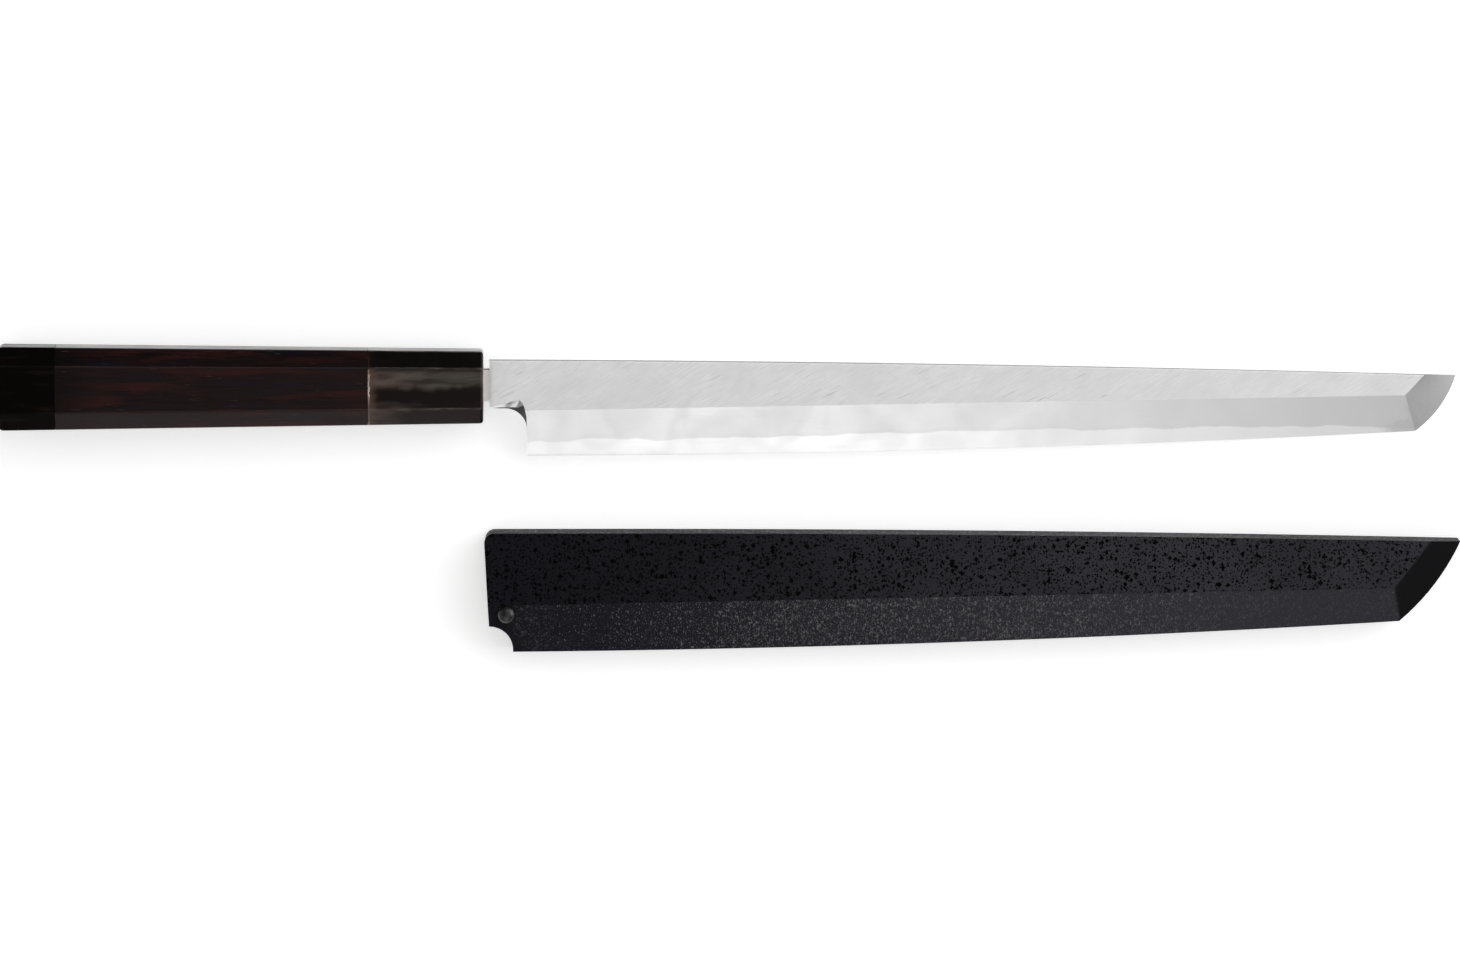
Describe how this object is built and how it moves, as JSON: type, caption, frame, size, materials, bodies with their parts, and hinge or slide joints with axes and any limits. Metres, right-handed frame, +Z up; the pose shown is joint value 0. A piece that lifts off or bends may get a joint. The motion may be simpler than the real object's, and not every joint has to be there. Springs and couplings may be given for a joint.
{
  "type": "takohiki knife with sheath",
  "caption": "Long single-bevel slicing knife with a sword-like tip, octagonal ebony and horn handle, and a stone-textured lacquered wooden sheath locked by a peg, laid beside it.",
  "frame": {"origin": "centre of the footprint of knife and sheath together, on the surface that they lie on", "axes": "+X along the knife from the handle to the point, +Y from the edge to the spine, +Z up, out of the blade's ground front"},
  "size_m": [0.453, 0.0958, 0.025],
  "materials": {
    "soft_iron": "soft iron cladding with a diagonal satin grind",
    "hard_steel": "hard steel, polished finer along the edge",
    "streaked_horn": "polished buffalo horn, black with cloudy grey-brown streaks",
    "black_horn": "polished black buffalo horn",
    "dark_ebony": "oiled and polished dark wood with fine reddish streaks",
    "dowel_wood": "bare pale wood",
    "stone_lacquer": "wood under black lacquer with a rough stone-like texture",
    "peg_lacquer": "turned wooden peg, smooth black lacquer"
  },
  "bodies": {
    "knife": {"blade_iron": "soft_iron", "edge_steel": "hard_steel", "ferrule": "streaked_horn", "handle_body": "dark_ebony", "butt_cap": "black_horn", "core_dowel": "dowel_wood", "butt_dowel": "dowel_wood"},
    "sheath": {"sheath_front_cheek": "stone_lacquer", "sheath_back_cheek": "stone_lacquer", "sheath_spine_strip": "stone_lacquer", "sheath_edge_strip": "stone_lacquer", "sheath_tip_strip": "stone_lacquer"},
    "peg": {"sheath_peg": "peg_lacquer"}
  },
  "joints": [
    {"name": "sheath_slide", "type": "slide", "parent": "knife", "child": "sheath", "axis": [1, 0.0099, 0], "range_m": [0, 0.31]},
    {"name": "peg_pull", "type": "slide", "parent": "sheath", "child": "peg", "axis": [0, 0, 1], "range_m": [0, 0.02]}
  ]
}
